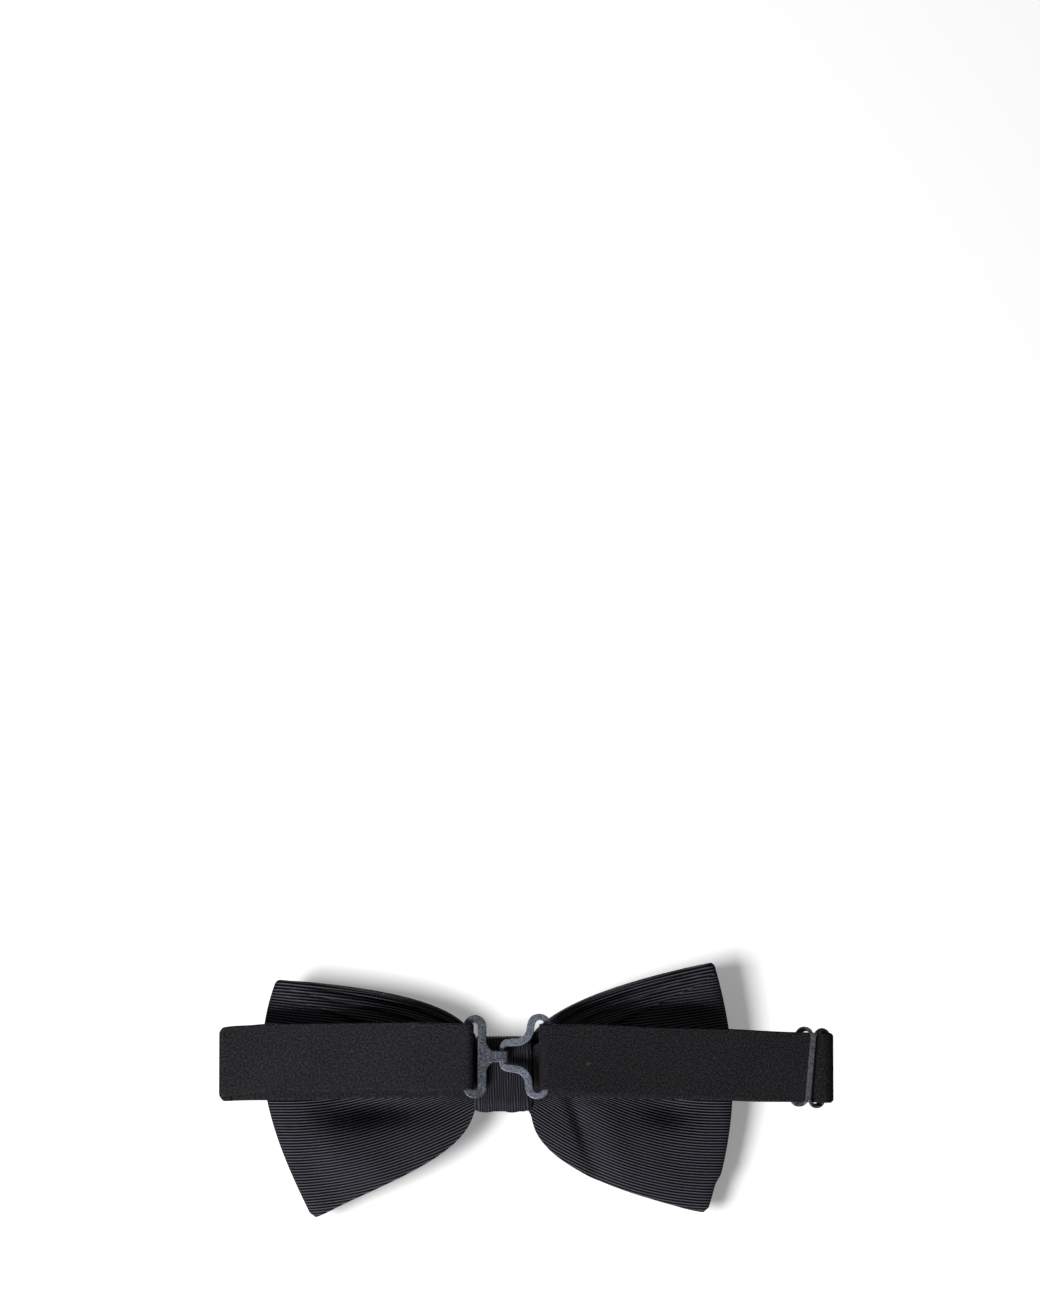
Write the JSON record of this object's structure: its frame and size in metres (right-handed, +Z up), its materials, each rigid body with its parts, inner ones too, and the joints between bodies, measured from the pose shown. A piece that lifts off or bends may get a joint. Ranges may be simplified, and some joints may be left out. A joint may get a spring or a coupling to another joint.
{
  "type": "bow tie",
  "caption": "Ready-tied bow tie: ribbed ribbon loops in a wrapped knot, with an adjustable neck band folded behind it and closed by a hook and eye.",
  "frame": {"origin": "middle of the knot's back face, where it lies on the collar button", "axes": "+Z up as worn, -Y towards the front of the bow, +Y towards the wearer, +X towards the hook's side"},
  "size_m": [0.1622, 0.0204, 0.0675],
  "materials": {
    "bow_grosgrain": "ribbed silk grosgrain, soft sheen",
    "knot_grosgrain": "fine upright ribs, soft sheen",
    "band_twill": "smooth satin twill",
    "canvas": "stiff woven interlining",
    "felt": "soft felt",
    "thread": "matt sewing thread",
    "hook_metal": "speckled gunmetal coating, satin",
    "eye_metal": "speckled gunmetal coating, satin",
    "slider_metal": "speckled gunmetal coating, satin"
  },
  "bodies": {
    "bow": {"front_ribbon": "bow_grosgrain", "front_interlining": "canvas", "rear_ribbon": "bow_grosgrain", "rear_interlining": "canvas", "knot_wrap": "knot_grosgrain", "knot_pad": "felt", "waist_thread": "thread", "knot_seam_stitch": "thread", "band_rear": "band_twill"},
    "hook_side_band": {"band_fold_hook_side": "band_twill", "band_hook_side": "band_twill", "hook_end_stitch": "thread"},
    "hook": {"hook": "hook_metal"},
    "slider_side_band": {"band_fold_slider_side": "band_twill", "band_slider_side": "band_twill", "band_return": "band_twill"},
    "eye": {"eye": "eye_metal"},
    "slider": {"slider": "slider_metal", "band_sewn_end": "band_twill", "slider_end_stitch": "thread"}
  },
  "joints": [
    {"name": "band_unfold", "type": "hinge", "parent": "bow", "child": "hook_side_band", "pos_m": [0.07355, -0.00035, 0], "axis": [0, 0, -1], "range_deg": [0, 150], "deforming": ["band_fold_hook_side"]},
    {"name": "slider_side_unfold", "type": "hinge", "parent": "bow", "child": "slider_side_band", "pos_m": [-0.084, 0.0015, 0], "axis": [0, 0, 1], "range_deg": [0, 128], "deforming": ["band_fold_slider_side"]},
    {"name": "hook_swivel", "type": "hinge", "parent": "hook_side_band", "child": "hook", "pos_m": [0.00966, 0.0027, 0], "axis": [0, 0, -1], "range_deg": [0, 90]},
    {"name": "eye_swivel", "type": "hinge", "parent": "slider_side_band", "child": "eye", "pos_m": [-0.0115, 0.0027, 0], "axis": [0, 0, -1], "range_deg": [0, 8]},
    {"name": "slider_slide", "type": "slide", "parent": "slider_side_band", "child": "slider", "axis": [0.9993, 0, 0.038], "range_m": [0, 0.045], "deforming": ["band_return"]}
  ],
  "couplings": [
    {"joint": "slider_side_unfold", "follows": "band_unfold", "ratio": 0.85}
  ]
}
